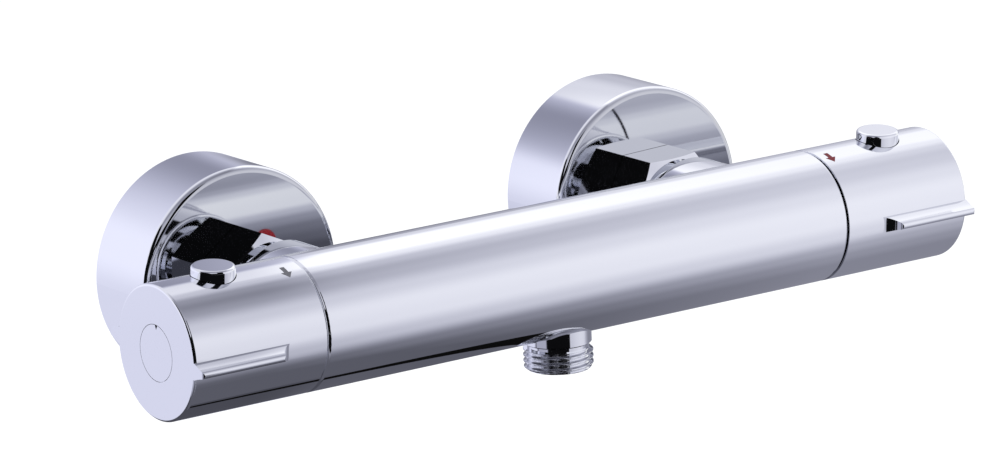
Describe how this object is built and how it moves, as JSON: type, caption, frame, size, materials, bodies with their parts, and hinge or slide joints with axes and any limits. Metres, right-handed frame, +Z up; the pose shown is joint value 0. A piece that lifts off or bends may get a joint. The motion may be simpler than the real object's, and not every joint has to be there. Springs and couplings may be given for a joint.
{
  "type": "thermostatic faucet",
  "caption": "Chrome wall-mounted thermostatic shower mixer bar with ribbed end handles, push buttons, round wall rosettes, hex union nuts and a threaded hose outlet.",
  "frame": {"origin": "on the wall plane, midway between the two wall inlets", "axes": "+X along the bar from the flow handle and hot inlet to the temperature handle and cold inlet, +Y into the wall, +Z up"},
  "size_m": [0.2808, 0.1199, 0.0682],
  "materials": {
    "chrome": "polished chrome plate over brass",
    "brass": "machined brass",
    "stainless_steel": "bright stainless steel",
    "black_rubber": "smooth moulded rubber",
    "white_plastic": "moulded acetal plastic",
    "red_plastic": "glossy red plastic",
    "ceramic_disc": "lapped ceramic",
    "copper": "drawn copper"
  },
  "bodies": {
    "mixer": {"valve_body": "chrome", "hot_mark": "red_plastic", "hose_outlet": "chrome", "outlet_seal": "black_rubber", "hot_eccentric_union": "brass", "cold_eccentric_union": "brass", "hot_rosette": "chrome", "cold_rosette": "chrome", "hot_union_nut": "chrome", "cold_union_nut": "chrome", "hot_filter_seal": "black_rubber", "cold_filter_seal": "black_rubber", "hot_inlet_nipple": "chrome", "cold_inlet_nipple": "chrome", "hot_nipple_seal": "black_rubber", "cold_nipple_seal": "black_rubber", "hot_check_valve": "white_plastic", "cold_check_valve": "white_plastic", "flow_stop_ring": "white_plastic", "temperature_stop_ring": "white_plastic", "flow_cartridge": "brass", "flow_fixed_disc": "ceramic_disc", "flow_disc_seal": "black_rubber", "flow_cartridge_seal": "black_rubber", "mixing_cartridge": "brass", "mixing_cartridge_seals": "black_rubber", "cartridge_ring_nut": "brass"},
    "flow_control": {"flow_handle": "chrome", "flow_end_cap": "chrome", "flow_handle_screw": "stainless_steel", "flow_spindle": "brass", "flow_turning_disc": "ceramic_disc", "flow_button_spring": "stainless_steel"},
    "temperature_control": {"temperature_handle": "chrome", "temperature_end_cap": "chrome", "temperature_handle_screw": "stainless_steel", "temperature_spindle": "brass", "temperature_button_spring": "stainless_steel"},
    "flow_push_button": {"flow_button": "chrome"},
    "temperature_push_button": {"temperature_button": "chrome"},
    "mixing_set": {"overload_sleeve": "brass", "mixing_slide": "brass", "wax_element": "copper", "return_spring": "stainless_steel"},
    "hot_check_plunger": {"hot_check_poppet": "white_plastic", "hot_check_spring": "stainless_steel"},
    "cold_check_plunger": {"cold_check_poppet": "white_plastic", "cold_check_spring": "stainless_steel"}
  },
  "joints": [
    {"name": "flow_turn", "type": "hinge", "parent": "mixer", "child": "flow_control", "pos_m": [-0.0947, -0.0814, -0.0075], "axis": [1, 0, 0], "range_deg": [0, 90]},
    {"name": "temperature_turn", "type": "hinge", "parent": "mixer", "child": "temperature_control", "pos_m": [0.0947, -0.0814, -0.0075], "axis": [1, 0, 0], "range_deg": [-200, 50]},
    {"name": "flow_button_push", "type": "slide", "parent": "flow_control", "child": "flow_push_button", "axis": [0, 0.0872, -0.9962], "range_m": [0, 0.0025], "stiffness_N_per_m": 800, "springref_m": -0.002, "deforming": ["flow_button_spring"]},
    {"name": "temperature_button_push", "type": "slide", "parent": "temperature_control", "child": "temperature_push_button", "axis": [0, 0.0872, -0.9962], "range_m": [0, 0.0025], "stiffness_N_per_m": 800, "springref_m": -0.002, "deforming": ["temperature_button_spring"]},
    {"name": "mixing_travel", "type": "slide", "parent": "mixer", "child": "mixing_set", "axis": [1, 0, 0], "range_m": [-0.00023, 0.00085]},
    {"name": "hot_check_open", "type": "slide", "parent": "mixer", "child": "hot_check_plunger", "axis": [0, -1, 0], "range_m": [0, 0.0025], "stiffness_N_per_m": 120, "springref_m": -0.001},
    {"name": "cold_check_open", "type": "slide", "parent": "mixer", "child": "cold_check_plunger", "axis": [0, -1, 0], "range_m": [0, 0.0025], "stiffness_N_per_m": 120, "springref_m": -0.001}
  ],
  "couplings": [
    {"joint": "mixing_travel", "follows": "temperature_turn", "m_per_rad": -0.00023873}
  ]
}
